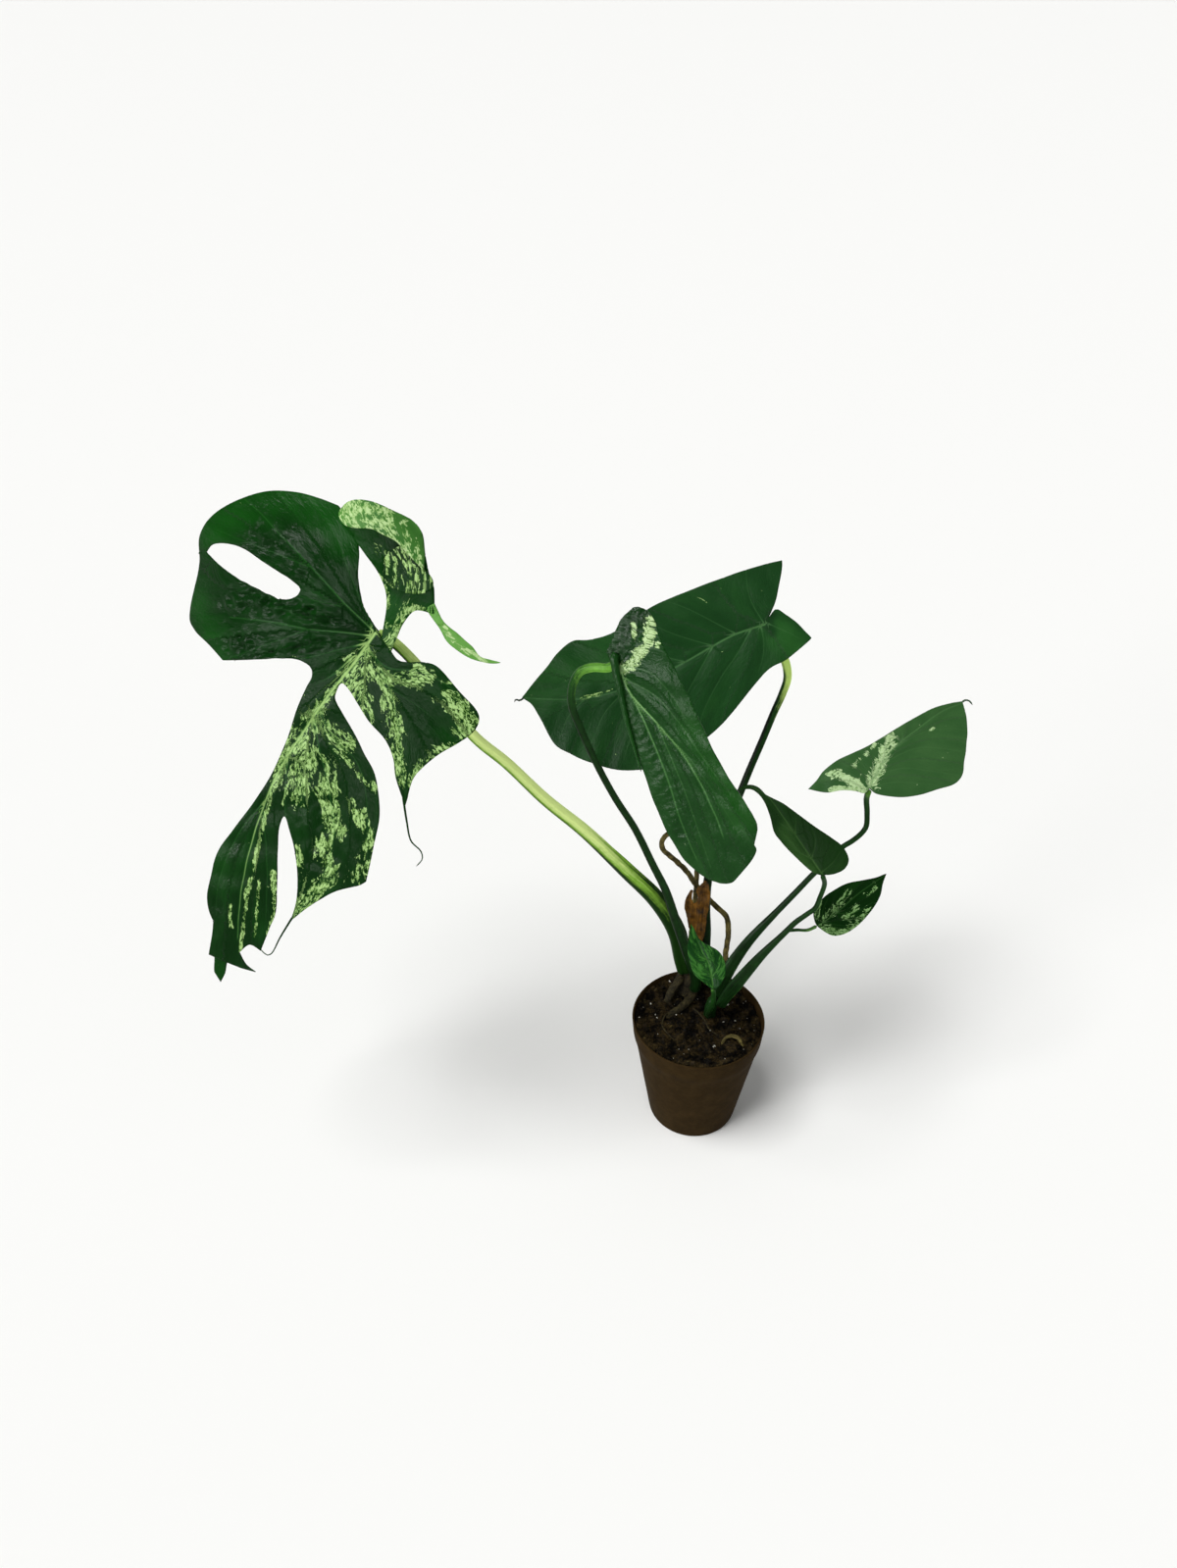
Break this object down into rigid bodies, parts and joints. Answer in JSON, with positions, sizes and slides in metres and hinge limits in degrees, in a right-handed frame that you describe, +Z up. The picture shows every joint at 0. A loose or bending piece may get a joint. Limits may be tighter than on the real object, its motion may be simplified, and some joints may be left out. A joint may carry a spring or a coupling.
{
  "type": "potted variegated monstera",
  "caption": "Variegated monstera with split and heart-shaped leaves on long petioles, rooted in soil in a round tapered nursery pot.",
  "frame": {"origin": "centre of the pot's underside, on the surface that the pot stands on", "axes": "+Z up along the pot's axis; the leaves' upper faces look towards -Y; +X to the right as they are seen"},
  "size_m": [0.6187, 0.1924, 0.6083],
  "materials": {
    "pot_plastic": "satin brown plastic",
    "potting_soil": "moist bark and peat mix",
    "stem_bark": "dull woody skin",
    "root_skin": "dull root skin",
    "dry_husk": "dry papery husk",
    "pale_stalk": "smooth yellow-green",
    "green_stalk": "smooth dark green",
    "green_leaf": "glossy waxy green",
    "variegated_leaf": "glossy green marbled with pale green"
  },
  "bodies": {
    "root": {"pot": "pot_plastic", "soil": "potting_soil", "main_stem": "stem_bark", "side_shoot": "green_stalk", "split_leaf_petiole": "pale_stalk", "hanging_leaf_petiole": "green_stalk", "heart_leaf_petiole": "green_stalk", "right_leaf_petiole": "green_stalk", "dark_leaf_petiole": "green_stalk", "marbled_leaf_petiole": "green_stalk", "young_leaf_petiole": "pale_stalk", "aerial_root": "root_skin", "surface_root": "root_skin", "prop_root": "stem_bark", "dry_sheath": "dry_husk", "split_leaf_blade": "variegated_leaf", "heart_leaf_blade": "green_leaf", "hanging_leaf_blade": "green_leaf", "right_leaf_blade": "variegated_leaf", "dark_leaf_blade": "green_leaf", "marbled_leaf_blade": "variegated_leaf", "young_leaf_blade": "variegated_leaf"}
  },
  "joints": []
}
